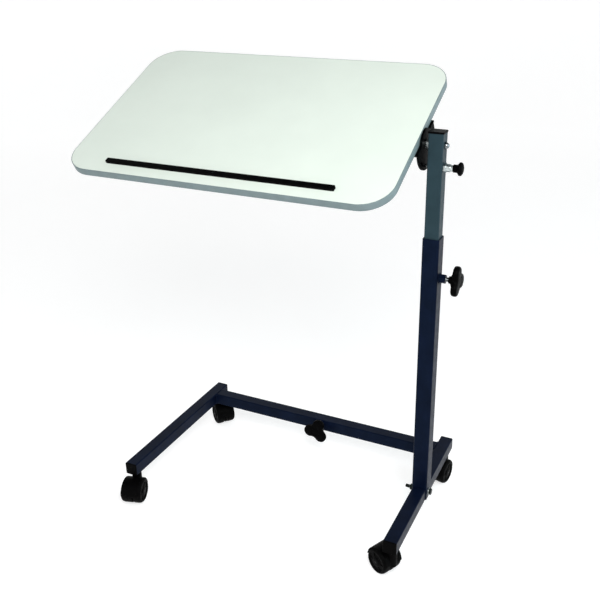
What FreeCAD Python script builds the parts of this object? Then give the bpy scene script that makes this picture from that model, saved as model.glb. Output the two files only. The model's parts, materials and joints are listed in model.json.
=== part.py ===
import FreeCAD, Part
import math
import os

# Overbed table on a wheeled U base: a tilting top on a telescopic square mast.
# Millimetres. +X is the user's right, +Y is the rear (the bed side), +Z is up.
# The origin is on the floor under the middle of the whole table at rest.

# ---- driving dimensions: tabletop -------------------------------------------------
TOP_WIDTH = 720.0            # along X, edge band included
TOP_DEPTH = 430.0            # along the board, front to rear
TOP_THICKNESS = 16.0
TOP_CORNER = 62.0            # corner radius in plan
BAND_THICKNESS = 1.5
TOP_EDGE_TO_MAST = 26.7      # right edge of the top to the mast's axis
TOP_REST_TILT = 27.3         # front edge low, degrees
UNDERSIDE_OVER_PIVOT = 14.5  # pivot axis to the underside, square to the board
LEDGE_LENGTH = 510.0
LEDGE_DEPTH = 11.0
LEDGE_HEIGHT = 6.5
LEDGE_FRONT = 189.0          # pivot line to the ledge's front face
LEDGE_SHIFT = -3.0           # ledge centre from the board's centre along X

# ---- driving dimensions: mast -----------------------------------------------------
OUTER_SIZE = 35.0
OUTER_WALL = 2.0
INNER_SIZE = 30.0
INNER_WALL = 1.5
OUTER_TOP_Z = 694.0
INNER_BOTTOM_Z = 386.0
INNER_TOP_Z = 904.0
MAST_CAP_HEIGHT = 3.5
PIVOT_Z = 880.0
HEIGHT_CLAMP_Z = 608.0

# ---- driving dimensions: tilt lock ------------------------------------------------
QUADRANT_RADIUS = 51.0
QUADRANT_HUB_RADIUS = 30.5
QUADRANT_PLATE = 4.0
QUADRANT_GAP = 6.7           # mast face to the quadrant
FLANGE_HALF_LENGTH = 54.0
FLANGE_PLATE = 3.5
FLANGE_REACH = 60.0
INDEX_RADIUS = 42.5          # pivot to the index pin
INDEX_STEP = TOP_REST_TILT / 2
INDEX_COUNT = 6
PIN_RADIUS = 3.0
PIN_NOSE_GAP = 0.3           # parked nose to the quadrant
PIN_TRAVEL = 4.2             # parked to pushed home
BARREL_RADIUS = 8.0
BARREL_END = 33.0            # mast axis to the barrel's outer end
SPIGOT_RADIUS = 6.2
SPIGOT_LENGTH = 4.8
CHAMBER_RADIUS = 4.8

# ---- driving dimensions: frame under the board ------------------------------------
SCREW_RADIUS = 2.2
SCREW_DEPTH = 11.0           # screw length inside the board
BEAM_SIZE = 25.0
BEAM_LENGTH = 580.0
STRAP_WIDTH = 30.0
STRAP_HALF_LENGTH = 150.0
STRAP_POSITIONS = (-330.0, -580.0)
LEDGE_SCREW_RADIUS = 1.5
LEDGE_SCREW_HEAD = 3.0
LEDGE_SCREW_INSET = 8.0      # ledge end to its last screw

# ---- driving dimensions: base -----------------------------------------------------
BAR_SIZE = 30.0
BAR_WALL = 1.5
BAR_CORNER = 2.5
BAR_BOTTOM_Z = 68.0
LEG_FRONT_REACH = 208.0      # mast axis to the front end of each leg
LEG_REAR_REACH = 202.0
LEG_SPACING = 653.0
CROSSBAR_BEHIND_MAST = 158.2
CROSSBAR_SPLIT = 345.0       # mast axis to the joint line of the two halves
CROSSBAR_CLAMP = 320.5       # mast axis to the crossbar knob
SLEEVE_GAP = 0.3
SLEEVE_IN_RIGHT = 230.0
SLEEVE_IN_LEFT = 150.0
RIVET_DISTANCES = (45.0, 105.0)  # split line to each rivet
FORK_DROP = 28.0             # mast cheeks below the leg's top
END_CAP_LIP = 2.5
PLUG_DEPTH = 8.0

# ---- driving dimensions: casters --------------------------------------------------
WHEEL_RADIUS = 28.5
WHEEL_WIDTH = 20.5
WHEEL_INNER_FACE = 5.0       # caster mid plane to a wheel's inner face
CASTER_TRAIL = 23.3
CASTER_INSET = 19.0          # leg end to the stem
HOOD_RADIUS = 31.0
HOOD_TOP_Z = 63.0
STEM_RADIUS = 4.0
AXLE_RADIUS = 3.0
CASTER_HEADINGS = {          # wheel side of the stem, degrees from +X
    "front_left": 286.0,
    "front_right": 153.0,
    "rear_left": 321.0,
    "rear_right": 260.0,
}

# ---- driving dimensions: knobs and fasteners --------------------------------------
KNOB_REACH = 61.0            # mast axis to the outer face of the height knob
KNOB_HEAD = 13.5
KNOB_HUB_LENGTH = 10.5
KNOB_RIM_ROUND = 4.5
KNOB_HUB_RADIUS = 8.5
LOBE_RADIUS = 15.3
LOBE_CENTRE = 18.0
WAIST_RADIUS = 12.0
STUD_RADIUS = 4.9
THREAD_RADIUS = 5.0
PAD_RADIUS = 4.2
PAD_LENGTH = 4.0
HEIGHT_BOSS = 13.0
CROSSBAR_BOSS = 8.0
HEIGHT_KNOB_SPIN = 73.0
CROSSBAR_KNOB_SPIN = 70.0
CROSSBAR_KNOB_GAP = 3.0      # boss to the knob's hub
M8_RADIUS = 4.0
M8_ACROSS_FLATS = 13.0
M10_ACROSS_FLATS = 17.0
RUNNING_FIT = 0.06

# ---- places that follow from them -------------------------------------------------
MAST_X = (TOP_EDGE_TO_MAST + TOP_WIDTH - KNOB_REACH) / 2
MAST_Y = 20.9
MAST = FreeCAD.Vector(MAST_X, MAST_Y, 0)
BAR_TOP_Z = BAR_BOTTOM_Z + BAR_SIZE
BAR_MID_Z = BAR_BOTTOM_Z + BAR_SIZE / 2
LEFT_LEG_X = MAST_X - LEG_SPACING
CROSSBAR_Y = MAST_Y + CROSSBAR_BEHIND_MAST
QUADRANT_RIGHT = -INNER_SIZE / 2 - QUADRANT_GAP
QUADRANT_LEFT = QUADRANT_RIGHT - QUADRANT_PLATE
PIVOT = FreeCAD.Vector(MAST_X, MAST_Y, PIVOT_Z)
INDEX_PIN = FreeCAD.Vector(MAST_X, MAST_Y, PIVOT_Z - INDEX_RADIUS)

X_AXIS = FreeCAD.Vector(1, 0, 0)
Y_AXIS = FreeCAD.Vector(0, 1, 0)
Z_AXIS = FreeCAD.Vector(0, 0, 1)


# ---- building blocks --------------------------------------------------------------
def vec(x, y, z):
    return FreeCAD.Vector(x, y, z)


def block(low, high):
    size = high - low
    return Part.makeBox(size.x, size.y, size.z, low)


def rod(radius, start, axis, length):
    return Part.makeCylinder(radius, length, start, axis)


def ring(outer, inner, start, axis, length):
    return rod(outer, start, axis, length).cut(rod(inner, start, axis, length))


def hexagon(across_flats, start, axis, length):
    """A hexagonal prism whose corners are turned off at its far end."""
    corner = across_flats / math.sqrt(3)
    turn = [math.radians(60 * i) for i in range(7)]
    points = [vec(corner * math.cos(a), corner * math.sin(a), 0) for a in turn]
    prism = Part.Face(Part.makePolygon(points)).extrude(vec(0, 0, length))
    cone = Part.makeCone(corner + length, across_flats / 2 * 0.97, length + corner - across_flats / 2)
    prism = prism.common(cone)
    return along(prism, start, axis)


def along(shape, start, axis):
    """Turn a shape built up +Z so that it runs along an axis from a start point."""
    placed = shape.copy()
    placed.Placement = FreeCAD.Placement(start, FreeCAD.Rotation(Z_AXIS, axis)).multiply(shape.Placement)
    return placed


def rounded_rectangle(width, depth, radius):
    """A flat face in XY, centred, with four arc corners."""
    half_w, half_d = width / 2, depth / 2
    reach = radius * (1 - math.sqrt(0.5))
    edges = []
    corners = [(1, 1), (-1, 1), (-1, -1), (1, -1)]
    for index, (sx, sy) in enumerate(corners):
        along_x = vec(sx * (half_w - radius), sy * half_d, 0)
        along_y = vec(sx * half_w, sy * (half_d - radius), 0)
        first, last = (along_y, along_x) if sx * sy > 0 else (along_x, along_y)
        middle = vec(sx * (half_w - reach), sy * (half_d - reach), 0)
        edges.append(Part.Arc(first, middle, last).toShape())
        next_sx, next_sy = corners[(index + 1) % 4]
        if sx * sy > 0:
            end = vec(next_sx * (half_w - radius), next_sy * half_d, 0)
        else:
            end = vec(next_sx * half_w, next_sy * (half_d - radius), 0)
        edges.append(Part.LineSegment(last, end).toShape())
    return Part.Face(Part.Wire(edges))


def square_bar(size, corner, length):
    return rounded_rectangle(size, size, corner).extrude(vec(0, 0, length))


def square_tube(size, wall, corner, length):
    inner = max(corner - wall, 0.5)
    return square_bar(size, corner, length).cut(square_bar(size - 2 * wall, inner, length))


def end_plug(size, wall, corner, lip):
    """A tube end cap: a lip as wide as the tube on a plug that fills its mouth."""
    cap = square_bar(size, corner, lip)
    cap = cap.makeFillet(min(lip, 2.0) * 0.6, [e for e in cap.Edges if is_top_edge(e, lip)])
    plug = square_bar(size - 2 * wall - 0.2, 0.8, PLUG_DEPTH).translated(vec(0, 0, -PLUG_DEPTH))
    return cap.fuse(plug)


def is_top_edge(edge, height):
    box = edge.BoundBox
    return abs(box.ZMin - height) < 1e-4 and abs(box.ZMax - height) < 1e-4


def write(name, *shapes):
    shape = shapes[0] if len(shapes) == 1 else Part.makeCompound(list(shapes))
    if not shape.isValid():
        raise RuntimeError(name + " is not a valid shape")
    shape.exportStep(os.path.join("parts", name + ".step"))


# ---- base -------------------------------------------------------------------------
def leg(x):
    length = LEG_FRONT_REACH + LEG_REAR_REACH - 2 * END_CAP_LIP
    start = vec(x, MAST_Y - LEG_FRONT_REACH + END_CAP_LIP, BAR_MID_Z)
    tube = along(square_tube(BAR_SIZE, BAR_WALL, BAR_CORNER, length), start, Y_AXIS)
    for stem in stem_places(x):
        tube = tube.cut(rod(STEM_RADIUS, stem + vec(0, 0, BAR_BOTTOM_Z - 1), Z_AXIS, BAR_WALL + 2))
    return tube


def stem_places(x):
    front = vec(x, MAST_Y - LEG_FRONT_REACH + CASTER_INSET, 0)
    rear = vec(x, MAST_Y + LEG_REAR_REACH - CASTER_INSET, 0)
    return [front, rear]


def leg_caps(x):
    cap = end_plug(BAR_SIZE, BAR_WALL, BAR_CORNER, END_CAP_LIP)
    front = along(cap, vec(x, MAST_Y - LEG_FRONT_REACH + END_CAP_LIP, BAR_MID_Z), -Y_AXIS)
    rear = along(cap, vec(x, MAST_Y + LEG_REAR_REACH - END_CAP_LIP, BAR_MID_Z), Y_AXIS)
    return [front, rear]


def right_leg():
    bolt_hole = rod(M8_RADIUS + 0.2, vec(MAST_X - BAR_SIZE, MAST_Y, BAR_MID_Z), X_AXIS, 2 * BAR_SIZE)
    write("right_leg", leg(MAST_X).cut(bolt_hole))
    write("right_leg_caps", *leg_caps(MAST_X))


def left_leg():
    write("left_leg", leg(LEFT_LEG_X))
    write("left_leg_caps", *leg_caps(LEFT_LEG_X))


def crossbar():
    """Two halves of one outer size, joined end to end over an inner sleeve."""
    split_x = MAST_X - CROSSBAR_SPLIT
    right_length = CROSSBAR_SPLIT - BAR_SIZE / 2
    left_length = LEG_SPACING - CROSSBAR_SPLIT - BAR_SIZE / 2
    start = vec(split_x, CROSSBAR_Y, BAR_MID_Z)
    right = along(square_tube(BAR_SIZE, BAR_WALL, BAR_CORNER, right_length), start, X_AXIS)
    right = right.cut(rod(PAD_RADIUS + 0.3, crossbar_clamp_point(), Y_AXIS, BAR_WALL))
    left = along(square_tube(BAR_SIZE, BAR_WALL, BAR_CORNER, left_length), start, -X_AXIS)
    sleeve_size = BAR_SIZE - 2 * BAR_WALL - 2 * SLEEVE_GAP
    sleeve_start = start - vec(SLEEVE_IN_LEFT, 0, 0)
    sleeve = square_tube(sleeve_size, BAR_WALL, 1.5, SLEEVE_IN_LEFT + SLEEVE_IN_RIGHT)
    sleeve = along(sleeve, sleeve_start, X_AXIS)
    rivets = []
    for distance in RIVET_DISTANCES:
        place = vec(split_x - distance, CROSSBAR_Y, BAR_BOTTOM_Z - 1.5)
        shank = rod(2.0, place, Z_AXIS, 6.0)
        head = rod(4.0, place, Z_AXIS, 1.5)
        left = left.cut(shank)
        sleeve = sleeve.cut(shank)
        rivets.append(shank.fuse(head))
    write("right_crossbar", right)
    write("left_crossbar", left)
    write("crossbar_sleeve", sleeve)
    write("sleeve_rivets", *rivets)


def crossbar_clamp_point():
    """Centre of the clamp hole on the crossbar's front face."""
    return vec(MAST_X - CROSSBAR_CLAMP, CROSSBAR_Y - BAR_SIZE / 2, BAR_MID_Z)


# ---- mast -------------------------------------------------------------------------
def outer_mast():
    """The fixed tube: its lower end is a fork of two cheeks that straddles the leg."""
    bottom = BAR_TOP_Z - FORK_DROP
    tube = square_tube(OUTER_SIZE, OUTER_WALL, 3.0, OUTER_TOP_Z - bottom)
    tube = tube.translated(vec(MAST_X, MAST_Y, bottom))
    half_gap = OUTER_SIZE / 2 - OUTER_WALL
    fork_gap = block(vec(MAST_X - half_gap, MAST_Y - OUTER_SIZE, bottom - 1),
                     vec(MAST_X + half_gap, MAST_Y + OUTER_SIZE, BAR_TOP_Z))
    tube = tube.cut(fork_gap)
    tube = tube.cut(rod(M8_RADIUS + 0.2, vec(MAST_X - OUTER_SIZE, MAST_Y, BAR_MID_Z), X_AXIS, 2 * OUTER_SIZE))
    tube = tube.cut(rod(PAD_RADIUS + 0.3, height_clamp_point() - vec(OUTER_WALL, 0, 0), X_AXIS, OUTER_WALL))
    write("mast_outer_tube", tube)


def height_clamp_point():
    """Centre of the clamp hole on the outer tube's right face."""
    return vec(MAST_X + OUTER_SIZE / 2, MAST_Y, HEIGHT_CLAMP_Z)


def foot_bolt():
    """A long cross bolt through both cheeks and the leg; its thread stands out on the left."""
    washer = 1.6
    head = 5.3
    nut = 6.5
    thread_end = 37.0
    face = OUTER_SIZE / 2
    right = vec(MAST_X + face, MAST_Y, BAR_MID_Z)
    left = vec(MAST_X - face, MAST_Y, BAR_MID_Z)
    bolt = hexagon(M8_ACROSS_FLATS, right + vec(washer, 0, 0), X_AXIS, head)
    bolt = bolt.fuse(rod(M8_RADIUS, vec(MAST_X - thread_end, MAST_Y, BAR_MID_Z), X_AXIS,
                         thread_end + face + washer))
    write("mast_foot_bolt", bolt)
    hole = rod(M8_RADIUS, left - vec(20, 0, 0), X_AXIS, 20)
    write("mast_foot_nut", hexagon(M8_ACROSS_FLATS, left - vec(washer, 0, 0), -X_AXIS, nut).cut(hole))
    write("mast_foot_washers", ring(8.0, M8_RADIUS, right, X_AXIS, washer),
          ring(8.0, M8_RADIUS, left, -X_AXIS, washer))


def inner_mast():
    """The sliding tube, its top cap and the glide that steadies its foot."""
    tube = square_tube(INNER_SIZE, INNER_WALL, 2.5, INNER_TOP_Z - INNER_BOTTOM_Z)
    tube = tube.translated(vec(MAST_X, MAST_Y, INNER_BOTTOM_Z))
    across = 2 * INNER_SIZE
    tube = tube.cut(rod(M8_RADIUS, PIVOT - vec(INNER_SIZE, 0, 0), X_AXIS, across))
    tube = tube.cut(rod(PIN_RADIUS + RUNNING_FIT, INDEX_PIN - vec(INNER_SIZE, 0, 0), X_AXIS, across))
    write("mast_inner_tube", tube)
    overhang = 1.0
    cap = end_plug(INNER_SIZE + 2 * overhang, INNER_WALL + overhang, 3.0, MAST_CAP_HEIGHT)
    write("mast_top_cap", cap.translated(vec(MAST_X, MAST_Y, INNER_TOP_Z)))
    glide = square_bar(INNER_SIZE - 0.2, 2.5, 4.0).translated(vec(0, 0, -4.0))
    glide = glide.fuse(square_bar(INNER_SIZE - 2 * INNER_WALL - 0.2, 0.8, 14.0))
    write("mast_foot_glide", glide.translated(vec(MAST_X, MAST_Y, INNER_BOTTOM_Z)))


# ---- tilt lock --------------------------------------------------------------------
def pivot_hardware():
    """The cross bolt that the tabletop tilts on, with its spacer, washer and dome nut."""
    play = 0.1
    head = 5.3
    half = INNER_SIZE / 2
    washer = 2.5
    head_face = QUADRANT_LEFT - play
    nut_depth = 5.0
    bolt = hexagon(M8_ACROSS_FLATS, PIVOT + vec(head_face, 0, 0), -X_AXIS, head)
    bolt = bolt.fuse(rod(M8_RADIUS, PIVOT + vec(head_face, 0, 0), X_AXIS, half - head_face + nut_depth))
    write("pivot_bolt", bolt)
    spacer_left = QUADRANT_RIGHT + play
    write("pivot_spacer", ring(9.0, M8_RADIUS, PIVOT + vec(spacer_left, 0, 0), X_AXIS,
                               -half - washer - spacer_left))
    write("pivot_washer", ring(12.0, M8_RADIUS, PIVOT - vec(half, 0, 0), -X_AXIS, washer))
    dome = hexagon(M8_ACROSS_FLATS, PIVOT + vec(half, 0, 0), X_AXIS, 3.2)
    ball = Part.makeSphere(M8_ACROSS_FLATS / 2 * 0.93, PIVOT + vec(half + 2.4, 0, 0))
    dome = dome.fuse(ball.common(rod(20, PIVOT + vec(half + 0.1, 0, 0), X_AXIS, 20)))
    write("pivot_dome_nut", dome.cut(rod(M8_RADIUS, PIVOT + vec(half, 0, 0), X_AXIS, nut_depth)))


def index_plunger():
    """A pull knob on a pin that locks the quadrant, in a barrel on the mast's right face.
    The knob's hollow neck slides over the barrel's spigot as the pin goes in."""
    face = INNER_SIZE / 2
    collar = 5.0
    chamber_start = face + collar
    chamber_end = BARREL_END - 2.0
    shoulder = BARREL_END - SPIGOT_LENGTH
    barrel = hexagon(M10_ACROSS_FLATS, INDEX_PIN + vec(face, 0, 0), X_AXIS, collar)
    barrel = barrel.fuse(rod(BARREL_RADIUS, INDEX_PIN + vec(face, 0, 0), X_AXIS, shoulder - face))
    barrel = barrel.fuse(rod(SPIGOT_RADIUS, INDEX_PIN + vec(face, 0, 0), X_AXIS, BARREL_END - face))
    barrel = barrel.cut(rod(PIN_RADIUS + RUNNING_FIT, INDEX_PIN, X_AXIS, BARREL_END + 1))
    barrel = barrel.cut(rod(CHAMBER_RADIUS, INDEX_PIN + vec(chamber_start, 0, 0), X_AXIS,
                            chamber_end - chamber_start))
    write("plunger_barrel", barrel)
    ring_width = 2.0
    ring_x = chamber_start + PIN_TRAVEL + 0.4
    nose = QUADRANT_RIGHT + PIN_NOSE_GAP
    knob_start = BARREL_END + 0.4
    pin_seat = 13.0
    pin = rod(PIN_RADIUS, INDEX_PIN + vec(nose, 0, 0), X_AXIS, knob_start + pin_seat - nose)
    pin = pin.fuse(rod(CHAMBER_RADIUS - 0.3, INDEX_PIN + vec(ring_x, 0, 0), X_AXIS, ring_width))
    write("plunger_pin", pin)
    spring_x = ring_x + ring_width + 0.1
    write("plunger_spring", coil_spring(INDEX_PIN + vec(spring_x, 0, 0), chamber_end - 0.1 - spring_x))
    profile = [(0, 0), (7.8, 0), (7.8, 7.5), (13.2, 12.0), (13.2, 15.5), (9.5, 18.6), (0, 19.6)]
    knob = turned(profile)
    knob = knob.makeFillet(1.2, ring_edges(knob, (7.5, 12.0, 15.5)))
    knob = along(knob, INDEX_PIN + vec(knob_start, 0, 0), X_AXIS)
    knob = knob.cut(rod(SPIGOT_RADIUS + 0.4, INDEX_PIN, X_AXIS, knob_start + PIN_TRAVEL + 0.8))
    write("plunger_knob", knob.cut(rod(PIN_RADIUS, INDEX_PIN, X_AXIS, knob_start + pin_seat)))


def coil_spring(start, length):
    """A compression spring round the pin, drawn compressed, of square wire; axis along X."""
    wire = 0.8
    inner = PIN_RADIUS + 0.45
    turns = 3.0
    rise = length - wire
    path = Part.makeHelix(rise / turns, rise, inner + wire / 2)
    corners = [vec(inner, 0, -wire / 2), vec(inner + wire, 0, -wire / 2),
               vec(inner + wire, 0, wire / 2), vec(inner, 0, wire / 2)]
    section = Part.makePolygon(corners + corners[:1])
    coil = Part.Wire(path).makePipeShell([section], True, True)
    return along(coil.translated(vec(0, 0, wire / 2)), start, X_AXIS)


def turned(profile):
    """A solid of revolution about Z from (radius, height) points."""
    points = [vec(radius, 0, height) for radius, height in profile]
    return Part.Face(Part.makePolygon(points + points[:1])).revolve(vec(0, 0, 0), Z_AXIS, 360)


def ring_edges(shape, heights):
    """The circular edges that lie at the given heights."""
    rings = []
    for edge in shape.Edges:
        box = edge.BoundBox
        flat = box.ZMax - box.ZMin < 1e-4
        if flat and any(abs(box.ZMin - height) < 1e-4 for height in heights):
            rings.append(edge)
    return rings


def quadrant():
    """The half-round index plate with its hub, bent over into a flange under the board."""
    disc = rod(QUADRANT_RADIUS, vec(QUADRANT_LEFT, 0, 0), X_AXIS, QUADRANT_PLATE)
    span = 2 * QUADRANT_RADIUS
    below = block(vec(-span, -span, -span), vec(span, span, UNDERSIDE_OVER_PIVOT))
    plate = disc.common(below).fuse(rod(QUADRANT_HUB_RADIUS, vec(QUADRANT_LEFT, 0, 0), X_AXIS, QUADRANT_PLATE))
    flange = block(vec(QUADRANT_LEFT - FLANGE_REACH, -FLANGE_HALF_LENGTH, UNDERSIDE_OVER_PIVOT - FLANGE_PLATE),
                   vec(QUADRANT_RIGHT - 0.5, FLANGE_HALF_LENGTH, UNDERSIDE_OVER_PIVOT))
    outer_corners = [e for e in flange.Edges if is_upright(e) and e.BoundBox.XMax < QUADRANT_LEFT]
    flange = flange.makeFillet(8.0, outer_corners)
    plate = plate.fuse(flange).removeSplitter()
    plate = plate.cut(rod(M8_RADIUS + RUNNING_FIT, vec(QUADRANT_LEFT - 1, 0, 0), X_AXIS, QUADRANT_PLATE + 2))
    for index in range(INDEX_COUNT):
        swing = math.radians(INDEX_STEP * index)
        hole = vec(QUADRANT_LEFT - 1, -INDEX_RADIUS * math.sin(swing), -INDEX_RADIUS * math.cos(swing))
        plate = plate.cut(rod(PIN_RADIUS + 0.2, hole, X_AXIS, QUADRANT_PLATE + 2))
    for x, y in flange_screws():
        plate = plate.cut(rod(SCREW_RADIUS, vec(x, y, UNDERSIDE_OVER_PIVOT - 10), Z_AXIS, 20))
    write("tilt_quadrant", tilted(plate))


def is_upright(edge):
    box = edge.BoundBox
    return box.ZMax - box.ZMin > 1e-3 and box.XMax - box.XMin < 1e-4 and box.YMax - box.YMin < 1e-4


# ---- tabletop: built flat about the pivot, then tilted ----------------------------

def tilted(shape):
    turn = FreeCAD.Placement(PIVOT, FreeCAD.Rotation(X_AXIS, TOP_REST_TILT))
    placed = shape.copy()
    placed.Placement = turn.multiply(shape.Placement)
    return placed


def top_centre():
    return vec(-TOP_EDGE_TO_MAST - TOP_WIDTH / 2, 0, UNDERSIDE_OVER_PIVOT)


def flange_screws():
    return [(QUADRANT_LEFT - x, y) for x in (16.0, 48.0) for y in (-40.0, 40.0)]


def strap_screws():
    return [(x, y) for x in STRAP_POSITIONS for y in (-130.0, -60.0, 60.0, 130.0)]


def board():
    """The laminated board and the plastic band round its edge."""
    up = vec(0, 0, TOP_THICKNESS)
    outer = rounded_rectangle(TOP_WIDTH, TOP_DEPTH, TOP_CORNER).extrude(up)
    core = rounded_rectangle(TOP_WIDTH - 2 * BAND_THICKNESS, TOP_DEPTH - 2 * BAND_THICKNESS,
                             TOP_CORNER - BAND_THICKNESS).extrude(up)
    band = outer.cut(core).translated(top_centre())
    core = core.translated(top_centre())
    for x, y in flange_screws() + strap_screws():
        core = core.cut(rod(SCREW_RADIUS, vec(x, y, UNDERSIDE_OVER_PIVOT), Z_AXIS, SCREW_DEPTH))
    for x in ledge_screw_places():
        core = core.cut(rod(LEDGE_SCREW_RADIUS, vec(x, ledge_middle(), UNDERSIDE_OVER_PIVOT + 6), Z_AXIS, 20))
    write("table_board", tilted(core))
    write("board_edge_band", tilted(band))


def board_screws():
    """Pan head screws driven up into the board through the flange and the straps."""
    screws = []
    for x, y in flange_screws() + strap_screws():
        underside = UNDERSIDE_OVER_PIVOT - FLANGE_PLATE
        shank = rod(SCREW_RADIUS, vec(x, y, underside), Z_AXIS, FLANGE_PLATE + SCREW_DEPTH)
        head = rod(4.5, vec(x, y, underside - 2.6), Z_AXIS, 2.6)
        head = head.makeFillet(1.4, ring_edges(head, (underside - 2.6,)))
        screws.append(tilted(shank.fuse(head)))
    write("board_screws", *screws)


def support_frame():
    """A square beam welded to the quadrant, with two flat straps that carry the board."""
    top = UNDERSIDE_OVER_PIVOT - FLANGE_PLATE
    start = vec(QUADRANT_LEFT, 0, top - BEAM_SIZE / 2)
    beam = along(square_tube(BEAM_SIZE, BAR_WALL, 2.0, BEAM_LENGTH), start, -X_AXIS)
    write("support_beam", tilted(beam))
    cap = end_plug(BEAM_SIZE, BAR_WALL, 2.0, END_CAP_LIP)
    write("support_beam_cap", tilted(along(cap, start - vec(BEAM_LENGTH, 0, 0), -X_AXIS)))
    straps = []
    for x in STRAP_POSITIONS:
        strap = rounded_rectangle(STRAP_WIDTH, 2 * STRAP_HALF_LENGTH, 10.0).extrude(vec(0, 0, FLANGE_PLATE))
        strap = strap.translated(vec(x, 0, top))
        for screw_x, screw_y in strap_screws():
            strap = strap.cut(rod(SCREW_RADIUS, vec(screw_x, screw_y, top - 1), Z_AXIS, 10.0))
        straps.append(tilted(strap))
    write("support_straps", *straps)


def ledge_middle():
    return -LEDGE_FRONT + LEDGE_DEPTH / 2


def ledge_screw_places():
    middle = top_centre().x + LEDGE_SHIFT
    reach = LEDGE_LENGTH / 2 - LEDGE_SCREW_INSET
    return [middle + offset for offset in (-reach, 0.0, reach)]


def stop_ledge():
    """The low bar near the front edge that stops a book sliding off."""
    base = UNDERSIDE_OVER_PIVOT + TOP_THICKNESS
    bar = rounded_rectangle(LEDGE_LENGTH, LEDGE_DEPTH, 2.0).extrude(vec(0, 0, LEDGE_HEIGHT))
    bar = bar.makeFillet(1.4, [e for e in bar.Edges if is_top_edge(e, LEDGE_HEIGHT)])
    bar = bar.translated(vec(top_centre().x + LEDGE_SHIFT, ledge_middle(), base))
    screws = []
    for x in ledge_screw_places():
        seat = vec(x, ledge_middle(), base + LEDGE_HEIGHT - 2.0)
        bar = bar.cut(rod(LEDGE_SCREW_RADIUS, vec(x, ledge_middle(), base - 1), Z_AXIS, 20))
        bar = bar.cut(rod(LEDGE_SCREW_HEAD, seat, Z_AXIS, 5))
        shank = rod(LEDGE_SCREW_RADIUS, vec(x, ledge_middle(), base - 10), Z_AXIS, 10 + LEDGE_HEIGHT - 1)
        screw = rod(LEDGE_SCREW_HEAD, seat, Z_AXIS, 1.8).fuse(shank)
        screws.append(tilted(screw))
    write("stop_ledge", tilted(bar))
    write("stop_ledge_screws", *screws)


# ---- clamps -----------------------------------------------------------------------
def lobed_outline():
    """Three round lobes joined by tangent hollows, in XY with one lobe along +X."""
    reach = LOBE_RADIUS + WAIST_RADIUS
    hollow = (LOBE_CENTRE + math.sqrt(4 * reach ** 2 - 3 * LOBE_CENTRE ** 2)) / 2
    edges = []
    for index in range(3):
        lobe_turn = math.radians(120 * index)
        lobe = polar(LOBE_CENTRE, lobe_turn)
        before = polar(hollow, lobe_turn - math.radians(60))
        after = polar(hollow, lobe_turn + math.radians(60))
        following = polar(LOBE_CENTRE, lobe_turn + math.radians(120))
        start = between(lobe, before, LOBE_RADIUS)
        end = between(lobe, after, LOBE_RADIUS)
        tip = polar(LOBE_CENTRE + LOBE_RADIUS, lobe_turn)
        dip = polar(hollow - WAIST_RADIUS, lobe_turn + math.radians(60))
        edges.append(Part.Arc(start, tip, end).toShape())
        edges.append(Part.Arc(end, dip, between(following, after, LOBE_RADIUS)).toShape())
    return Part.Face(Part.Wire(edges))


def polar(radius, turn):
    return vec(radius * math.cos(turn), radius * math.sin(turn), 0)


def between(start, end, distance):
    return start + (end - start).normalize() * distance


def knob_head():
    """A three-lobe grip on a round hub, built up +Z from the hub's face."""
    head = lobed_outline().extrude(vec(0, 0, KNOB_HEAD))
    rims = [e for e in head.Edges if is_top_edge(e, KNOB_HEAD) or is_top_edge(e, 0)]
    head = head.makeFillet(KNOB_RIM_ROUND, rims).translated(vec(0, 0, KNOB_HUB_LENGTH))
    hub = Part.makeCone(KNOB_HUB_RADIUS - 1, KNOB_HUB_RADIUS + 1, KNOB_HUB_LENGTH + 3)
    return head.fuse(hub)


def clamp(name, wall_point, outward, wall, boss_length, hub_gap, spin):
    """A welded boss, a pressure pad, and a threaded stud with its three-lobe knob."""
    boss = hexagon(M10_ACROSS_FLATS, wall_point, outward, boss_length)
    write(name + "_clamp_boss", boss.cut(rod(THREAD_RADIUS, wall_point, outward, boss_length)))
    pad_start = wall_point - outward * (wall + 0.3)
    write(name + "_clamp_pad", rod(PAD_RADIUS, pad_start, outward, PAD_LENGTH))
    stud_start = pad_start + outward * (PAD_LENGTH + 0.05)
    hub_start = wall_point + outward * (boss_length + hub_gap)
    stud_depth = 12.0
    stud_length = (hub_start - stud_start).Length + stud_depth
    write(name + "_clamp_stud", rod(STUD_RADIUS, stud_start, outward, stud_length))
    knob = knob_head()
    knob.rotate(vec(0, 0, 0), Z_AXIS, spin)
    knob = along(knob, hub_start, outward)
    write(name + "_clamp_knob", knob.cut(rod(STUD_RADIUS, stud_start, outward, stud_length)))


def clamps():
    hub_face = KNOB_REACH - KNOB_HEAD - KNOB_HUB_LENGTH
    height_gap = hub_face - OUTER_SIZE / 2 - HEIGHT_BOSS
    clamp("height", height_clamp_point(), X_AXIS, OUTER_WALL, HEIGHT_BOSS, height_gap, HEIGHT_KNOB_SPIN)
    clamp("crossbar", crossbar_clamp_point(), -Y_AXIS, BAR_WALL, CROSSBAR_BOSS, CROSSBAR_KNOB_GAP,
          CROSSBAR_KNOB_SPIN)


# ---- casters ----------------------------------------------------------------------
def caster_place(name):
    front, rear = stem_places(LEFT_LEG_X if name.endswith("left") else MAST_X)
    return front if name.startswith("front") else rear


def placed_caster(shape, name):
    turn = FreeCAD.Rotation(Z_AXIS, CASTER_HEADINGS[name])
    placed = shape.copy()
    placed.Placement = FreeCAD.Placement(caster_place(name), turn).multiply(shape.Placement)
    return placed


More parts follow.
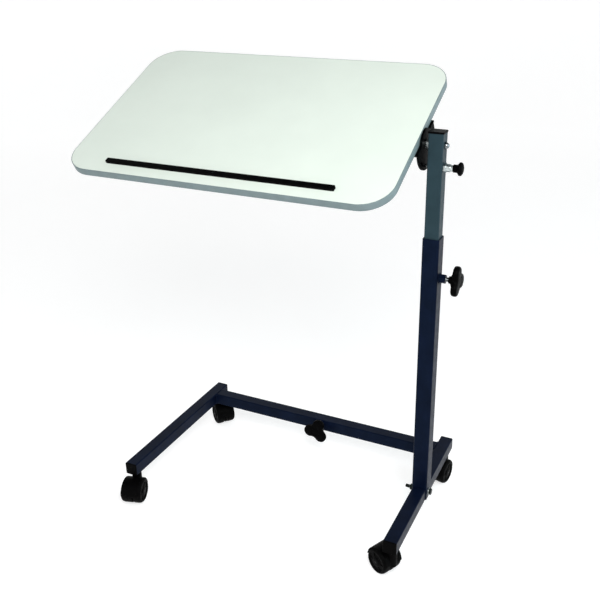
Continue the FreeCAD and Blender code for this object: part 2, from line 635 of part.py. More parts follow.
def hood():
    """The swivel housing: a stem socket, a web between the wheels and a fender over them."""
    centre = vec(CASTER_TRAIL, 0, WHEEL_RADIUS)
    half_width = WHEEL_INNER_FACE + WHEEL_WIDTH - 2.5
    fender = rod(HOOD_RADIUS, centre - vec(0, half_width, 0), Y_AXIS, 2 * half_width)
    trimmed = block(vec(-60, -60, WHEEL_RADIUS + 2), vec(80, 60, 90))
    web_half = WHEEL_INNER_FACE - 0.6
    web = rod(HOOD_RADIUS - 4, centre - vec(0, web_half, 0), Y_AXIS, 2 * web_half)
    web = web.common(block(vec(-60, -60, 9), vec(80, 60, 90)))
    socket = rod(11.0, vec(0, 0, WHEEL_RADIUS - 4), Z_AXIS, HOOD_TOP_Z - WHEEL_RADIUS + 4)
    socket = socket.makeFillet(2.0, ring_edges(socket, (HOOD_TOP_Z,)))
    body = fender.common(trimmed).fuse(socket)
    for side in (-1, 1):
        start = centre + vec(0, side * web_half, 0)
        body = body.cut(rod(WHEEL_RADIUS + 0.9, start, vec(0, side, 0), 60))
    body = body.fuse(web).removeSplitter()
    body = body.cut(rod(STEM_RADIUS + RUNNING_FIT, vec(0, 0, HOOD_TOP_Z - 17.0), Z_AXIS, 30))
    return body.cut(rod(AXLE_RADIUS, centre - vec(0, 60, 0), Y_AXIS, 120))


def wheel(side):
    """One wheel: a rounded tread and a dished outer face with a centre boss."""
    bore = AXLE_RADIUS + RUNNING_FIT
    rim = WHEEL_RADIUS
    face = WHEEL_WIDTH - 1.0
    profile = [
        (bore, 0), (rim - 2.5, 0), (rim, 2.5), (rim, face - 5.0), (rim - 1.5, face - 1.5),
        (rim - 5.0, face), (rim - 6.0, face), (rim - 7.5, face - 1.5), (9.0, face - 1.0),
        (8.0, WHEEL_WIDTH), (bore, WHEEL_WIDTH),
    ]
    start = vec(CASTER_TRAIL, side * WHEEL_INNER_FACE, WHEEL_RADIUS)
    return along(turned(profile), start, vec(0, side, 0))


def casters():
    axle_half = WHEEL_INNER_FACE + WHEEL_WIDTH
    axle = rod(AXLE_RADIUS, vec(CASTER_TRAIL, -axle_half, WHEEL_RADIUS), Y_AXIS, 2 * axle_half)
    for name in CASTER_HEADINGS:
        write(name + "_caster_hood", placed_caster(hood(), name))
        write(name + "_caster_axle", placed_caster(axle, name))
        write(name + "_wheel_a", placed_caster(wheel(1), name))
        write(name + "_wheel_b", placed_caster(wheel(-1), name))


def caster_stems():
    """Threaded stems with a hexagon collar under the leg and a welded nut inside it."""
    for side, x in (("left", LEFT_LEG_X), ("right", MAST_X)):
        stems = []
        nuts = []
        for place in stem_places(x):
            stem = rod(STEM_RADIUS, place + vec(0, 0, HOOD_TOP_Z - 16.5), Z_AXIS, 32.0)
            collar = hexagon(14.0, place + vec(0, 0, BAR_BOTTOM_Z), -Z_AXIS, BAR_BOTTOM_Z - HOOD_TOP_Z - 0.5)
            stems.append(stem.fuse(collar))
            nut_bottom = place + vec(0, 0, BAR_BOTTOM_Z + BAR_WALL)
            nuts.append(hexagon(M8_ACROSS_FLATS, nut_bottom, Z_AXIS, 6.5).cut(rod(STEM_RADIUS, place, Z_AXIS, 90)))
        write(side + "_caster_stems", *stems)
        write(side + "_caster_nuts", *nuts)


right_leg()
left_leg()
crossbar()
outer_mast()
foot_bolt()
inner_mast()
pivot_hardware()
index_plunger()
quadrant()
board()
board_screws()
support_frame()
stop_ledge()
clamps()
casters()
caster_stems()
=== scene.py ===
import json
import math

import bmesh
import bpy
from mathutils import Matrix, Vector


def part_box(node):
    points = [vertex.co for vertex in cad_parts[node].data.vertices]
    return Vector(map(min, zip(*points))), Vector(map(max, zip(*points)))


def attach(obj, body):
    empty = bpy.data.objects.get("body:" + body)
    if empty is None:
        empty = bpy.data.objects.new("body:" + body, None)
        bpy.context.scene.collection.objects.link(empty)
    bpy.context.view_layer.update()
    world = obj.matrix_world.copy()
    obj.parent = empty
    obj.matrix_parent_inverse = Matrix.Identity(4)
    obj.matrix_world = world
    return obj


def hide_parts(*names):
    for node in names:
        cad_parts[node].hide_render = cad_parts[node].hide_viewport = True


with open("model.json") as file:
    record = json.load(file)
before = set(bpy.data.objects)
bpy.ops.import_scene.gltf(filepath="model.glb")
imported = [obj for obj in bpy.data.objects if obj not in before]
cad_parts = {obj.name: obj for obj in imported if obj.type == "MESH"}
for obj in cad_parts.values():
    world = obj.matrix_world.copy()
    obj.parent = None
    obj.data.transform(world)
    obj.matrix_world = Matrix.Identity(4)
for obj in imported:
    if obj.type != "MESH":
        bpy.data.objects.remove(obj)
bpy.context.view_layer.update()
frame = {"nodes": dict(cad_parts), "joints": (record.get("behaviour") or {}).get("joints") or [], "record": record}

# Overbed table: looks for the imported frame. Metres, in the frame's own axes.

# ---- sizes of the top -------------------------------------------------------------
TOP_CORNER = 0.062             # corner radius in plan
TOP_THICKNESS = 0.016
BAND_THICKNESS = 0.0015
BAND_LIP = 0.0007              # round at the band's edges
UNDERSIDE_OVER_PIVOT = 0.0145  # pivot axis to the underside, square to the board
FLANGE_PLATE = 0.0035          # plates that the board screws pass through
LEDGE_SCREW_SEAT = 0.0045      # board's top face to the seat of a head in the ledge
LEDGE_SCREW_HEAD = 0.003       # head radius in the frame

# ---- sizes of the frame, its edges and its welds ----------------------------------
EDGE_ROUND = 0.0005
EDGE_ANGLE = 30.0              # edges sharper than this get the round, degrees
BAR_HALF = 0.015               # half the crossbar's outer size
BAR_CORNER = 0.0025
BAR_WELD = 0.0016              # bead radius
BOSS_WELD = 0.0013
BOSS_WELD_RADIUS = 0.0090      # boss axis to the middle of its bead
WELD_RIPPLE = 0.0016           # length of one ripple along a bead
WELD_SPACING = 0.0005          # between the points along a bead
RIPPLE_SWELL = 0.16            # shares of the bead's radius
DRIFT_SWELL = 0.08
DRIFT_LENGTH = 0.0047          # of the slower change along a bead, per radian

# ---- sizes of the casters ---------------------------------------------------------
WHEEL_RADIUS = 0.0285
WHEEL_WIDTH = 0.0205
WHEEL_FACE = WHEEL_WIDTH - 0.0010  # inner face to the rim's outer face; the hub stands prouder
WHEEL_INNER_FACE = 0.005       # caster mid plane to a wheel's inner face
WHEEL_BORE = 0.00306
WHEEL_CLEARANCE = 0.0009
DISH_RADIUS = WHEEL_RADIUS - 0.0060
HOOD_RADIUS = 0.031
SOCKET_RADIUS = 0.0110
WEB_HALF = WHEEL_INNER_FACE - 0.0006
WEB_BOTTOM = 0.009             # over the floor
AXLE_HEAD_RADIUS = 0.0030
HOOD_VOXEL = 0.0006            # grain of the remesh that makes the hood one moulding
HOOD_RELAX_PASSES = 4

# ---- sizes of the knobs and fasteners ---------------------------------------------
LOBE_RADIUS = 0.0153
LOBE_CENTRE = 0.018
WAIST_RADIUS = 0.012           # of the hollows between the lobes
KNOB_HEAD = 0.0135             # thickness of the grip
KNOB_HUB = 0.0105              # length of the hub under it
KNOB_HUB_RADIUS = 0.0085
KNOB_RIM = 0.0045              # round at the grip's edges
KNOB_PLUG = 0.0105             # radius of the plug in the grip's face
HEIGHT_KNOB_SPIN = 73.0        # degrees
CROSSBAR_KNOB_SPIN = 70.0
M8_RADIUS = 0.004
M8_ACROSS_FLATS = 0.013
M8_PITCH = 0.00125
M8_THREAD_DEPTH = 0.0004
M10_THREAD_RADIUS = 0.0049
M10_PITCH = 0.0015
M10_THREAD_DEPTH = 0.00045
PIVOT_HEAD_DEPTH = 0.0053

# ---- finishes ---------------------------------------------------------------------
NOISE_LOW = 0.3                # most of a noise's values lie between these two
NOISE_HIGH = 0.7

# ---- studio -----------------------------------------------------------------------
FLOOR_RADIUS = 4.5
COVE_RADIUS = 1.5
WALL_TOP = 6.0
CAMERA_PLACE = (0.7587, -1.3772, 1.2096)
CAMERA_HEADING = 0.4135        # to the left of +Y, radians
CAMERA_DIP = 0.3809            # below level, radians
CAMERA_ROLL = 0.0013
SENSOR_WIDTH = 36.0            # millimetres, as the focal length
FOCAL_LENGTH = 46.28
LENS_SHIFT = (-0.0705, -0.0553)

X_AXIS = Vector((1, 0, 0))
Y_AXIS = Vector((0, 1, 0))
Z_AXIS = Vector((0, 0, 1))
JOINTS = {joint["name"]: joint for joint in frame["joints"]}
CASTERS = ("front_left", "front_right", "rear_left", "rear_right")
PIVOT = Vector(JOINTS["table_tilt"]["pos_m"])
REST_TILT = -math.radians(JOINTS["table_tilt"]["range_deg"][0])  # the lower limit is the level top
BOARD_FRAME = Matrix.Translation(PIVOT) @ Matrix.Rotation(REST_TILT, 4, "X")


def middle(node):
    low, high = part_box(node)
    return (low + high) / 2


# ---- mesh building ----------------------------------------------------------------
def moved(matrix, rings):
    return [[matrix @ point for point in ring] for ring in rings]


def facing(origin, axis, spin=0.0):
    """A local frame whose Z runs along an axis, turned about it by a spin in degrees."""
    turn = Z_AXIS.rotation_difference(Vector(axis)).to_matrix().to_4x4()
    return Matrix.Translation(origin) @ turn @ Matrix.Rotation(math.radians(spin), 4, "Z")


def circle(radius, height, count=48):
    turns = (2 * math.pi * i / count for i in range(count))
    return [Vector((radius * math.cos(t), radius * math.sin(t), height)) for t in turns]


def rounding(steps):
    """Shares of a quarter round's radius: the first falls from 1 to 0 as the second rises."""
    turns = [math.radians(90 * step / steps) for step in range(steps + 1)]
    return [(1 - math.sin(turn), 1 - math.cos(turn)) for turn in turns]


def loft(made, rings, close_end=True, loop=False):
    """Joins rings of equally many points with quads; open ends get fans from their middles."""
    rows = [[made.verts.new(point) for point in ring] for ring in rings]
    count = len(rows[0])
    pairs = list(zip(rows, rows[1:]))
    if loop:
        pairs.append((rows[-1], rows[0]))
    for lower, upper in pairs:
        for i in range(count):
            j = (i + 1) % count
            made.faces.new((lower[i], lower[j], upper[j], upper[i]))
    if loop:
        return
    ends = [rows[0], rows[-1]] if close_end else [rows[0]]
    for row in ends:
        centre = made.verts.new(sum((v.co for v in row), Vector()) / count)
        for i in range(count):
            made.faces.new((row[i], row[(i + 1) % count], centre))


def turned(made, profile, place=Matrix(), count=48):
    """A solid of revolution from (radius, height) points, closed flat at both ends."""
    loft(made, moved(place, [circle(radius, height, count) for radius, height in profile]))


def turned_ring(made, profile, place, count):
    """A closed ring of revolution from a loop of (radius, height) points round a bore."""
    loft(made, moved(place, [circle(radius, height, count) for radius, height in profile]), loop=True)


def closed_mesh(name, made):
    """Turns the faces outward, makes a mesh of them and frees them."""
    bmesh.ops.recalc_face_normals(made, faces=made.faces)
    mesh = bpy.data.meshes.new(name)
    made.to_mesh(mesh)
    made.free()
    return mesh


def link_object(name, data):
    made = bpy.data.objects.new(name, data)
    bpy.context.collection.objects.link(made)
    return made


def place_piece(name, mesh, slot, body, replaced=(), crease=40.0):
    """Makes a smooth-shaded piece from a frame-space mesh, riding on a body."""
    mesh.polygons.foreach_set("use_smooth", [True] * len(mesh.polygons))
    mesh.set_sharp_from_angle(angle=math.radians(crease))
    mesh.materials.append(finishes[slot])
    piece = link_object(name, mesh)
    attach(piece, body)
    if replaced:
        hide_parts(*replaced)


def add_piece(name, made, slot, body, replaced=(), crease=40.0):
    place_piece(name, closed_mesh(name, made), slot, body, replaced, crease)


# ---- materials --------------------------------------------------------------------
class Finish:
    """A node material that is built up in steps around one Principled shader."""

    def __init__(self, name):
        self.material = bpy.data.materials.new(name)
        self.material.use_nodes = True
        self.tree = self.material.node_tree
        self.shader = self.tree.nodes["Principled BSDF"]
        self.coordinates = self.node("ShaderNodeTexCoord").outputs["Object"]

    def node(self, kind):
        return self.tree.nodes.new(kind)

    def link(self, source, target):
        self.tree.links.new(source, target)

    def noise(self, scale, detail=3.0, roughness=0.55):
        texture = self.node("ShaderNodeTexNoise")
        texture.inputs["Scale"].default_value = scale
        texture.inputs["Detail"].default_value = detail
        texture.inputs["Roughness"].default_value = roughness
        self.link(self.coordinates, texture.inputs["Vector"])
        return texture.outputs["Fac"]

    def cells(self, scale):
        texture = self.node("ShaderNodeTexVoronoi")
        texture.inputs["Scale"].default_value = scale
        self.link(self.coordinates, texture.inputs["Vector"])
        return texture.outputs["Distance"]

    def ramp(self, source, stops):
        ramp = self.node("ShaderNodeValToRGB")
        elements = ramp.color_ramp.elements
        while len(elements) < len(stops):
            elements.new(0.5)
        for element, (position, colour) in zip(elements, stops):
            element.position = position
            element.color = (*colour, 1.0)
        self.link(source, ramp.inputs["Fac"])
        return ramp.outputs["Color"]

    def span(self, source, low, high):
        """Stretches a noise's usual range over a range of values."""
        change = self.node("ShaderNodeMapRange")
        change.inputs["From Min"].default_value = NOISE_LOW
        change.inputs["From Max"].default_value = NOISE_HIGH
        change.inputs["To Min"].default_value = low
        change.inputs["To Max"].default_value = high
        self.link(source, change.inputs["Value"])
        return change.outputs["Result"]

    def colour(self, source):
        self.link(source, self.shader.inputs["Base Color"])

    def roughness(self, source):
        self.link(source, self.shader.inputs["Roughness"])

    def bump(self, source, distance, strength):
        bump = self.node("ShaderNodeBump")
        bump.inputs["Distance"].default_value = distance
        bump.inputs["Strength"].default_value = strength
        self.link(source, bump.inputs["Height"])
        self.link(bump.outputs["Normal"], self.shader.inputs["Normal"])

    def set(self, **values):
        for name, value in values.items():
            self.shader.inputs[name.replace("_", " ")].default_value = value


def shades(colour, spread):
    """Darker, plain and lighter versions of a colour for a ramp."""
    dark = tuple(c * (1 - spread) for c in colour)
    light = tuple(min(1.0, c * (1 + spread)) for c in colour)
    return [(NOISE_LOW, dark), ((NOISE_LOW + NOISE_HIGH) / 2, colour), (NOISE_HIGH, light)]


def laminate():
    """Pale grey-green melamine: faint cloudy speckle and the fine pitting of the press plate."""
    finish = Finish("laminate")
    clouds = finish.noise(9.0, 5.0)
    finish.colour(finish.ramp(clouds, shades((0.645, 0.715, 0.650), 0.02)))
    finish.roughness(finish.span(finish.noise(60.0), 0.36, 0.46))
    finish.bump(finish.noise(900.0, 2.0), 0.00008, 0.5)
    return finish.material


def edging():
    """Grey-blue plastic edge band, satin, with a fine even grain."""
    finish = Finish("edging")
    finish.colour(finish.ramp(finish.noise(40.0), shades((0.130, 0.178, 0.185), 0.08)))
    finish.roughness(finish.span(finish.noise(90.0), 0.42, 0.55))
    finish.bump(finish.noise(1400.0, 2.0), 0.00005, 0.5)
    return finish.material


def powder_coat(name, colour, spread, rough, gloss):
    """Cured powder paint: orange peel, a slightly uneven gloss and faint cloudiness."""
    finish = Finish(name)
    finish.colour(finish.ramp(finish.noise(26.0, 4.0), shades(colour, spread)))
    finish.roughness(finish.span(finish.noise(110.0), rough - 0.05, rough + 0.07))
    finish.bump(finish.noise(700.0, 1.5, 0.4), 0.00012, 0.35)
    # painted reflection colour: the cool teal tint on the reflections stands in for the cool light on the tubes'
    # right faces
    finish.set(Specular_IOR_Level=gloss, Specular_Tint=(0.55, 0.85, 1.0, 1.0))
    return finish.material


def moulded(name, colour, rough, gloss, grain):
    """Moulded plastic with the fine pebble of a spark-eroded tool."""
    finish = Finish(name)
    finish.colour(finish.ramp(finish.noise(70.0, 3.0), shades(colour, 0.18)))
    finish.roughness(finish.span(finish.noise(160.0), rough - 0.06, rough + 0.08))
    finish.bump(finish.cells(grain), 0.00006, 0.5)
    finish.set(Specular_IOR_Level=gloss)
    return finish.material


def metal(name, colour, rough):
    """Plated or oiled metal, with an uneven shine and faint tool marks."""
    finish = Finish(name)
    finish.colour(finish.ramp(finish.noise(120.0, 3.0), shades(colour, 0.06)))
    finish.roughness(finish.span(finish.noise(260.0, 3.0, 0.5), rough - 0.04, rough + 0.08))
    finish.bump(finish.noise(1500.0, 2.0, 0.5), 0.00002, 0.4)
    finish.set(Metallic=1.0)
    return finish.material


def make_materials():
    return {
        "laminate": laminate(),
        "edge_band": edging(),
        "navy_paint": powder_coat(
            "navy_paint", (0.0024, 0.0048, 0.0150), spread=0.25, rough=0.34, gloss=0.05),
        "grey_paint": powder_coat(
            "grey_paint", (0.018, 0.034, 0.042), spread=0.10, rough=0.36, gloss=0.07),
        "black_paint": powder_coat(
            "black_paint", (0.0008, 0.0008, 0.0010), spread=0.25, rough=0.44, gloss=0.02),
        "black_plastic": moulded(
            "black_plastic", (0.0008, 0.0008, 0.0009), rough=0.42, gloss=0.02, grain=1600.0),
        "clamp_pad": metal("clamp_pad", (0.70, 0.52, 0.24), rough=0.34),
        "zinc": metal("zinc", (0.55, 0.60, 0.60), rough=0.26),
        # near-black metal; on the mast foot bolt this colour is painted shade and painted dark reflection
        "black_screw": metal("black_screw", (0.016, 0.020, 0.019), rough=0.30),
        # painted dark reflection: the chrome is the zinc's colour darkened to about two fifths, standing in for
        # the dark surroundings it reflects
        "chrome": metal("chrome", (0.22, 0.24, 0.25), rough=0.12),
        "spring_steel": metal("spring_steel", (0.45, 0.45, 0.46), rough=0.30),
        "caster_plastic": moulded(
            "caster_plastic", (0.0010, 0.0010, 0.0011), rough=0.46, gloss=0.025, grain=1600.0),
        "axle_steel": metal("axle_steel", (0.008, 0.008, 0.009), rough=0.42),
        "caster_wheel": moulded(
            "caster_wheel", (0.0010, 0.0010, 0.0011), rough=0.50, gloss=0.03, grain=1100.0),
    }


# ---- frame parts that keep their own mesh -----------------------------------------
def dress_frame(materials):
    """Gives every frame node its material, welded corners and softened edges."""
    slots = {entry["node"]: entry["material_slot"] for entry in frame["record"]["subparts"]}
    for name, piece in frame["nodes"].items():
        piece.data.materials.clear()
        piece.data.materials.append(materials[slots[name]])
        soften(piece)


def soften(piece):
    """Adds a weld, a small round on the sharp edges, and even shading over the flats."""
    weld = piece.modifiers.new("weld", "WELD")
    weld.merge_threshold = 0.00001
    bevel = piece.modifiers.new("round", "BEVEL")
    bevel.width = EDGE_ROUND
    bevel.segments = 2
    bevel.limit_method = "ANGLE"
    bevel.angle_limit = math.radians(EDGE_ANGLE)
    bevel.harden_normals = False
    smooth = piece.modifiers.new("normals", "WEIGHTED_NORMAL")
    smooth.keep_sharp = True


# ---- fasteners --------------------------------------------------------------------
def thread(made, place, radius, length, pitch, depth):
    """A rod with a helical ridge that fades out at both ends, and a chamfer at each."""
    around = 24
    rows_per_turn = 6
    end_radius = radius - 1.6 * depth
    rows = int(length / pitch * rows_per_turn)
    rings = [circle(end_radius, 0.0, around)]
    for row in range(1, rows):
        height = length * row / rows
        easing = min(1.0, height / pitch, (length - height) / pitch)
        ring = []
        for i, point in enumerate(circle(1.0, 0.0, around)):
            phase = (height / pitch - i / around) % 1.0
            ridge = abs(2 * phase - 1)
            reach = radius - depth * (1 - ridge * easing)
            ring.append(Vector((point.x * reach, point.y * reach, height)))
        rings.append(ring)
    rings.append(circle(end_radius, length, around))
    loft(made, moved(place, rings))


def hexagon_ring(across_flats, height):
    ring = []
    for point in circle(1.0, 0.0):
        turn = math.atan2(point.y, point.x)
        off = (turn + math.radians(30)) % math.radians(60) - math.radians(30)
        reach = across_flats / 2 / math.cos(off)
        ring.append(Vector((point.x * reach, point.y * reach, height)))
    return ring


def hexagon_head(made, place, across_flats, depth):
    """A bolt head from z = 0 up: flats, and corners turned off at the outer face."""
    flat = across_flats / 2
    corner_slope = 0.8
    outer = []
    for point in hexagon_ring(across_flats, 0.0):
        over = max(0.0, point.length - flat)
        outer.append(Vector((point.x, point.y, depth - corner_slope * over - 0.0002)))
    rings = [
        circle(flat * 0.95, 0.0), hexagon_ring(across_flats, depth * 0.03), outer,
        circle(flat * 0.96, depth - 0.0001), circle(flat * 0.92, depth),
    ]
    loft(made, moved(place, rings))


def cross_ring(arm, width, height):
    """The outline of a cross recess."""
    ring = []
    for point in circle(1.0, 0.0):
        across = max(abs(point.x), 1e-6)
        upward = max(abs(point.y), 1e-6)
        reach = max(min(arm / across, width / upward), min(arm / upward, width / across))
        ring.append(Vector((point.x * reach, point.y * reach, height)))
    return ring


def cross_head_screw(made, place, head_radius, head_depth, shank_radius, shank_length):
    """A pan head with a cross recess; z = 0 is the head's seat and the shank runs to -z."""
    rings = [circle(shank_radius, -shank_length), circle(shank_radius, 0.0)]
    rings.append(circle(head_radius, 0.0))
    flat_share = 0.55
    for step in range(1, 6):
        turn = math.radians(15 * step)
        reach = head_radius * (flat_share + (1 - flat_share) * math.cos(turn))
        rings.append(circle(reach, head_depth * math.sin(turn)))
    arm = head_radius * 0.5
    width = head_radius * 0.14
    taper = 0.8
    rings.append(cross_ring(arm, width, head_depth * 0.99))
    rings.append(cross_ring(arm * taper, width * taper, head_depth * 0.45))
    loft(made, moved(place, rings))


def make_foot_bolt():
    low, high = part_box("mast_foot_bolt")
    centre = middle("mast_foot_bolt")
    washer_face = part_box("mast_foot_washers")[1].x
    made = bmesh.new()
    head = facing(Vector((washer_face, centre.y, centre.z)), X_AXIS)
    hexagon_head(made, head, M8_ACROSS_FLATS, high.x - washer_face)
    shank = facing(Vector((low.x, centre.y, centre.z)), X_AXIS)
    thread(made, shank, M8_RADIUS, washer_face - low.x, M8_PITCH, M8_THREAD_DEPTH)
    # the bolt's near-black finish is painted shade and painted dark reflection
    add_piece("mast_foot_bolt_threaded", made, "black_screw", "base", ["mast_foot_bolt"])


def make_pivot_bolt():
    low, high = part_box("pivot_bolt")
    head_face = low.x + PIVOT_HEAD_DEPTH
    made = bmesh.new()
    seat = Vector((head_face, PIVOT.y, PIVOT.z))
    hexagon_head(made, facing(seat, -X_AXIS), M8_ACROSS_FLATS, head_face - low.x)
    shank = [(M8_RADIUS - 0.0001, 0.0), (M8_RADIUS, 0.0002), (M8_RADIUS, high.x - head_face)]
    turned(made, shank, facing(seat, X_AXIS), count=32)
    add_piece("pivot_bolt_headed", made, "zinc", "mast", ["pivot_bolt"])


def make_studs():
    """The clamp studs, with the rolled thread that shows between boss and knob."""
    for name, axis, body in (("height", X_AXIS, "height_knob"), ("crossbar", -Y_AXIS, "crossbar_knob")):
        node = name + "_clamp_stud"
        low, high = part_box(node)
        length = abs((high - low).dot(axis))
        place = facing(middle(node) - axis * length / 2, axis)
        made = bmesh.new()
        thread(made, place, M10_THREAD_RADIUS, length, M10_PITCH, M10_THREAD_DEPTH)
        add_piece(name + "_stud_threaded", made, "chrome", body, [node])


def joined_vertices(made):
    """The vertices of a mesh, one list for each separate solid."""
    waiting = set(made.verts)
    while waiting:
        group = [waiting.pop()]
        for vertex in group:
            for edge in vertex.link_edges:
                other = edge.other_vert(vertex)
                if other in waiting:
                    waiting.remove(other)
                    group.append(other)
        yield group


def halfway(values):
    return (min(values) + max(values)) / 2


def board_screw_places():
    """Screw places on the board, found from the separate screws of the frame's node."""
    made = bmesh.new()
    made.from_mesh(frame["nodes"]["board_screws"].data)
    bmesh.ops.remove_doubles(made, verts=made.verts, dist=1e-6)
    inverse = BOARD_FRAME.inverted()
    places = []
    for group in joined_vertices(made):
        local = [inverse @ v.co for v in group]
        places.append((halfway([p.x for p in local]), halfway([p.y for p in local])))
    made.free()
    return sorted(places)


def make_board_screws():
    seat = UNDERSIDE_OVER_PIVOT - FLANGE_PLATE
    made = bmesh.new()
    for x, y in board_screw_places():
        down = BOARD_FRAME @ Matrix.Translation((x, y, seat)) @ Matrix.Rotation(math.pi, 4, "X")
        cross_head_screw(
            made, down, head_radius=0.0045, head_depth=0.0026, shank_radius=0.0022, shank_length=0.0145)
    add_piece("board_screws_cross_head", made, "zinc", "tabletop", ["board_screws"])


def make_ledge_screws():
    low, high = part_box("stop_ledge_screws")
    inverse = BOARD_FRAME.inverted()
    across = (inverse @ middle("stop_ledge")).y
    seat = UNDERSIDE_OVER_PIVOT + TOP_THICKNESS + LEDGE_SCREW_SEAT
    made = bmesh.new()
    for x in (low.x + LEDGE_SCREW_HEAD, (low.x + high.x) / 2, high.x - LEDGE_SCREW_HEAD):
        place = BOARD_FRAME @ Matrix.Translation((x - PIVOT.x, across, seat))
        cross_head_screw(
            made, place, head_radius=0.0029, head_depth=0.0016, shank_radius=0.0015, shank_length=0.012)
    add_piece("ledge_screws_cross_head", made, "black_screw", "tabletop", ["stop_ledge_screws"])


# ---- knobs ------------------------------------------------------------------------
def lobed_outline(steps=16):
    """(point, outward normal) pairs round three lobes joined by tangent hollows."""
    reach = LOBE_RADIUS + WAIST_RADIUS
    hollow = (LOBE_CENTRE + math.sqrt(4 * reach ** 2 - 3 * LOBE_CENTRE ** 2)) / 2
    outline = []
    for index in range(3):
        turn = math.radians(120 * index)
        lobe = Matrix.Rotation(turn, 3, "Z") @ Vector((LOBE_CENTRE, 0, 0))
        dip = Matrix.Rotation(turn + math.radians(60), 3, "Z") @ Vector((hollow, 0, 0))
        outward = (dip - lobe).normalized()
        swing = (math.atan2(outward.y, outward.x) - turn) % (2 * math.pi)
        for step in range(steps):
            angle = turn - swing + 2 * swing * step / steps
            normal = Vector((math.cos(angle), math.sin(angle), 0))
            outline.append((lobe + normal * LOBE_RADIUS, normal))
        opening = 2 * (swing - math.radians(60))
        for step in range(steps // 2):
            angle = turn + swing + math.pi - opening * step / (steps // 2)
            normal = Vector((math.cos(angle), math.sin(angle), 0))
            outline.append((dip + normal * WAIST_RADIUS, -normal))
    return outline


def knob_head(made, place):
    """A moulded grip: rounded rims, a crowned face and a round plug sunk in its middle."""
    outline = lobed_outline()
    rings = []

    def ring(inset, height):
        points = [point - normal * inset for point, normal in outline]
        rings.append([Vector((p.x, p.y, height)) for p in points])

    def blended(share, radius, height):
        points = []
        for point, normal in outline:
            edge = point - normal * KNOB_RIM
            mixed = edge.lerp(edge.normalized() * radius, share)
            points.append(Vector((mixed.x, mixed.y, height)))
        rings.append(points)

    base = KNOB_HUB
    top = KNOB_HUB + KNOB_HEAD
    parting = base + KNOB_HEAD / 2
    neck = KNOB_HUB_RADIUS + 0.0004
    parting_half = 0.0004
    crown = 0.0006
    blended(1.0, neck, base - 0.0004)
    blended(0.9, neck, base)
    blended(0.5, neck, base)
    for inward, back in rounding(6):
        ring(KNOB_RIM * inward, base + KNOB_RIM * back)
    ring(0.0, parting - parting_half)
    ring(-0.00015, parting)
    ring(0.0, parting + parting_half)
    for inward, back in rounding(6):
        ring(KNOB_RIM * back, top - KNOB_RIM * inward - crown)
    blended(0.4, KNOB_PLUG, top - 0.0003)
    blended(0.9, KNOB_PLUG, top - 0.0001)
    blended(1.0, KNOB_PLUG, top - 0.0004)
    blended(1.0, KNOB_PLUG - 0.0002, top - 0.0012)
    blended(1.0, KNOB_PLUG - 0.0008, top - 0.0012)
    blended(1.0, KNOB_PLUG - 0.0010, top - 0.0006)
    blended(1.0, KNOB_PLUG * 0.5, top - 0.0002)
    loft(made, moved(place, rings))


def knob_hub(made, place):
    """The tapered hub under the grip, with ribs that run out to the lobes."""
    foot = KNOB_HUB_RADIUS - 0.0010
    rib_half = 0.0009
    rib_root = 0.0070
    rib_end = LOBE_CENTRE + 0.004
    profile = [
        (foot - 0.0005, 0.0), (foot, 0.0005), (KNOB_HUB_RADIUS, KNOB_HUB * 0.75),
        (KNOB_HUB_RADIUS + 0.0012, KNOB_HUB), (KNOB_HUB_RADIUS + 0.0012, KNOB_HUB + 0.0030),
    ]
    turned(made, profile, place)
    rib = []
    for side in (-rib_half, rib_half):
        rib.append([
            Vector((rib_root, side, KNOB_HUB * 0.35)), Vector((rib_end, side, KNOB_HUB - 0.0001)),
            Vector((rib_end, side, KNOB_HUB + 0.0015)), Vector((rib_root, side, KNOB_HUB + 0.0015)),
        ])
    for index in range(3):
        turn = Matrix.Rotation(math.radians(120 * index), 4, "Z")
        loft(made, moved(place @ turn, rib))


def make_knobs():
    for name, axis, spin, body in (
        ("height", X_AXIS, HEIGHT_KNOB_SPIN, "height_knob"),
        ("crossbar", -Y_AXIS, CROSSBAR_KNOB_SPIN, "crossbar_knob"),
    ):
        node = name + "_clamp_knob"
        low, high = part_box(node)
        joint = Vector(JOINTS[name + "_knob_turn"]["pos_m"])
        length = KNOB_HUB + KNOB_HEAD
        end = max(low.dot(axis), high.dot(axis))
        start = joint + axis * (end - length - joint.dot(axis))
        made = bmesh.new()
        place = facing(start, axis, spin)
        knob_head(made, place)
        knob_hub(made, place)
        add_piece(name + "_knob_grip", made, "black_plastic", body, [node])


def make_plunger_knob():
    """The pull knob: a hollow waisted neck under a mushroom head with a sunk cap."""
    inner_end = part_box("plunger_knob")[0].x
    pin = middle("plunger_knob")
    hollow = 0.0066
    profile = [
        (0.0032, 0.0050), (hollow, 0.0050), (hollow, 0.0003), (0.0069, 0.0), (0.0075, 0.0),
        (0.0078, 0.0004), (0.0078, 0.0060), (0.0080, 0.0075), (0.0090, 0.0089), (0.0108, 0.0103),
        (0.0124, 0.0113), (0.0131, 0.0122), (0.0132, 0.0132), (0.0132, 0.0146), (0.0129, 0.0156),
        (0.0121, 0.0166), (0.0108, 0.0176), (0.0092, 0.0184), (0.0074, 0.0190), (0.0072, 0.0187),
        (0.0070, 0.0187), (0.0068, 0.0191), (0.0035, 0.0195),
    ]
    made = bmesh.new()
    turned(made, profile, facing(Vector((inner_end, pin.y, pin.z)), X_AXIS))
    add_piece("plunger_pull_knob", made, "black_plastic", "index_pin", ["plunger_knob"])


# ---- edge band --------------------------------------------------------------------
def rounded_outline(width, depth, radius, steps=20):
    """(point, outward normal) pairs round a rectangle with arc corners, centred."""
    outline = []
    for index, (sx, sy) in enumerate(((1, 1), (-1, 1), (-1, -1), (1, -1))):
        centre = Vector((sx * (width / 2 - radius), sy * (depth / 2 - radius), 0))
        for step in range(steps + 1):
            turn = math.radians(90 * (index + step / steps))
            normal = Vector((math.cos(turn), math.sin(turn), 0))
            outline.append((centre + normal * radius, normal))
    return outline


